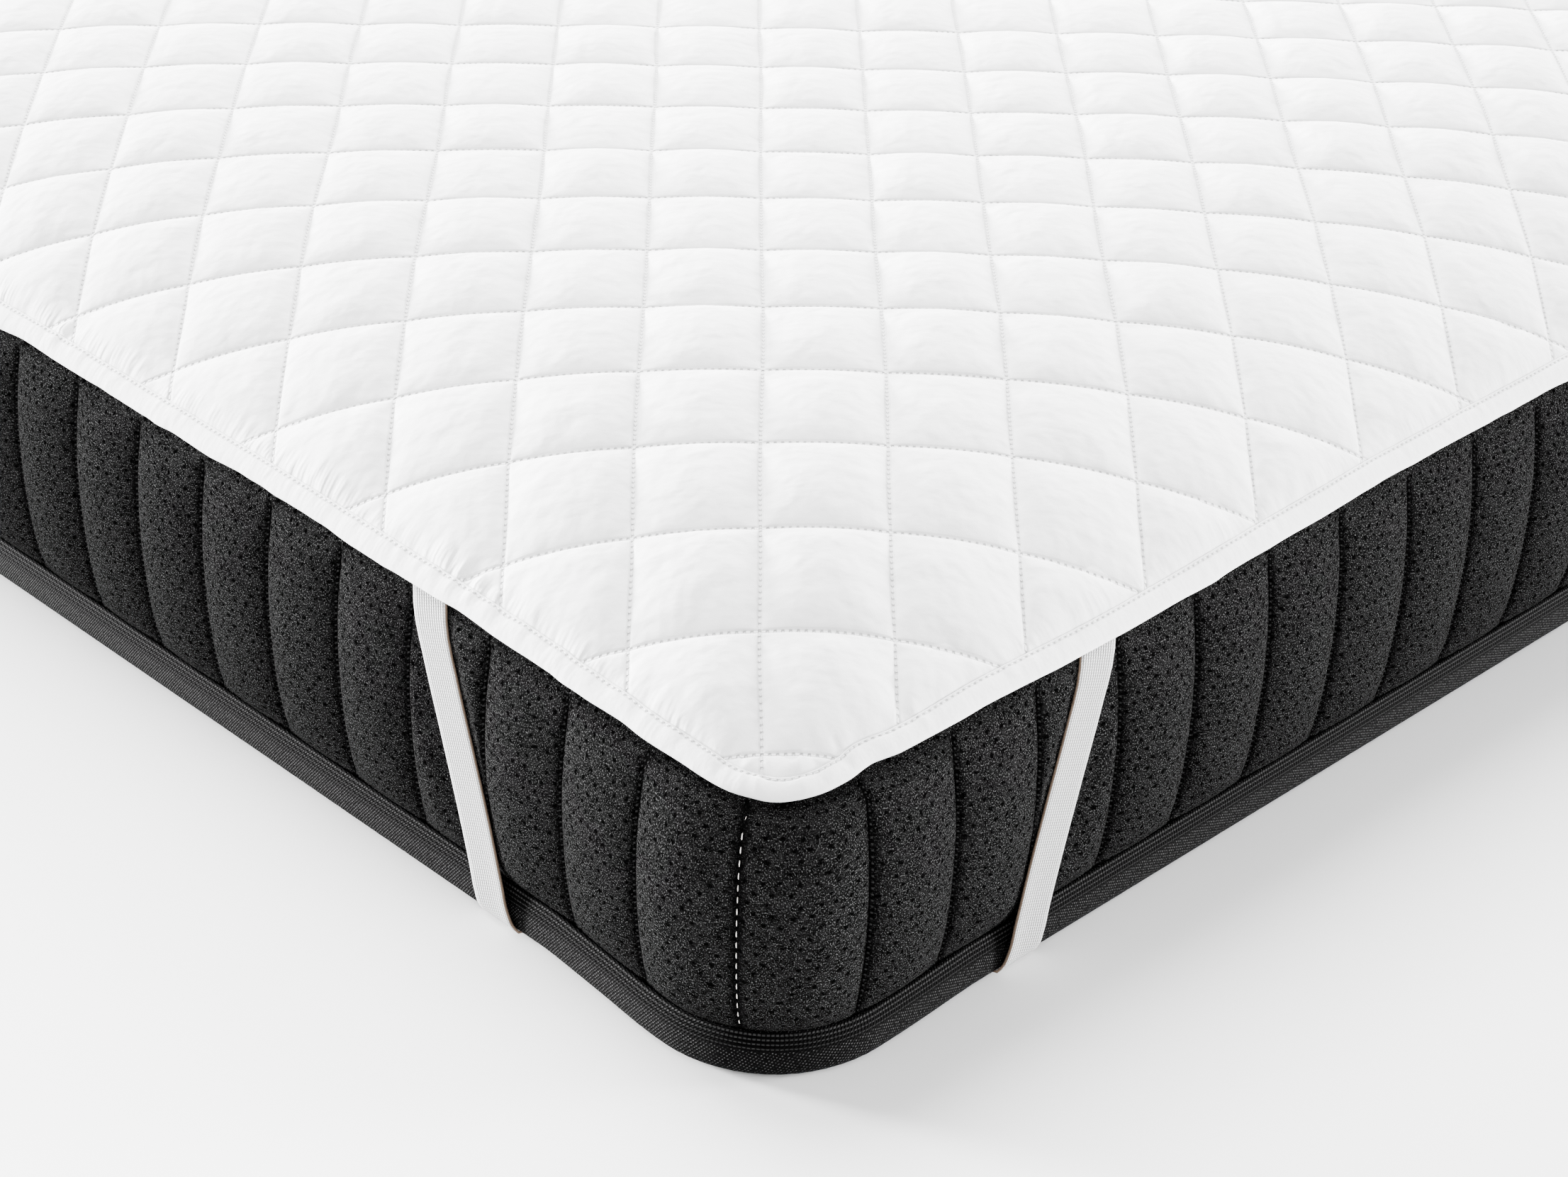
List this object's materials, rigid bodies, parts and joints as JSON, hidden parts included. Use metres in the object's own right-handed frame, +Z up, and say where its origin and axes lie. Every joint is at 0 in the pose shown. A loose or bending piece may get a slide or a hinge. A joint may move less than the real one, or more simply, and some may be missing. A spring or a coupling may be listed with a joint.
{
  "type": "mattress protector on mattress",
  "caption": "Quilted mattress protector with a folded binding and corner elastics, lying on a plain channel-quilted mattress.",
  "frame": {"origin": "on the surface the mattress rests on, under the middle of the bed", "axes": "+X across the bed, +Y along the bed, +Z up"},
  "size_m": [1.421, 2.021, 0.2834],
  "materials": {
    "pad_cloth": "white quilted microfibre, matt and peached",
    "binding_cloth": "white folded bias tape, smooth plain weave",
    "elastic_web": "white woven elastic with fine ribs",
    "border_knit": "charcoal heathered knit, brushed",
    "tape_web": "black ribbed woven tape"
  },
  "bodies": {
    "root": {"quilted_pad": "pad_cloth", "edge_binding": "binding_cloth", "corner_elastic_near_right": "elastic_web", "corner_elastic_far_right": "elastic_web", "corner_elastic_far_left": "elastic_web", "corner_elastic_near_left": "elastic_web", "mattress": "border_knit", "bottom_tape": "tape_web"}
  },
  "joints": []
}
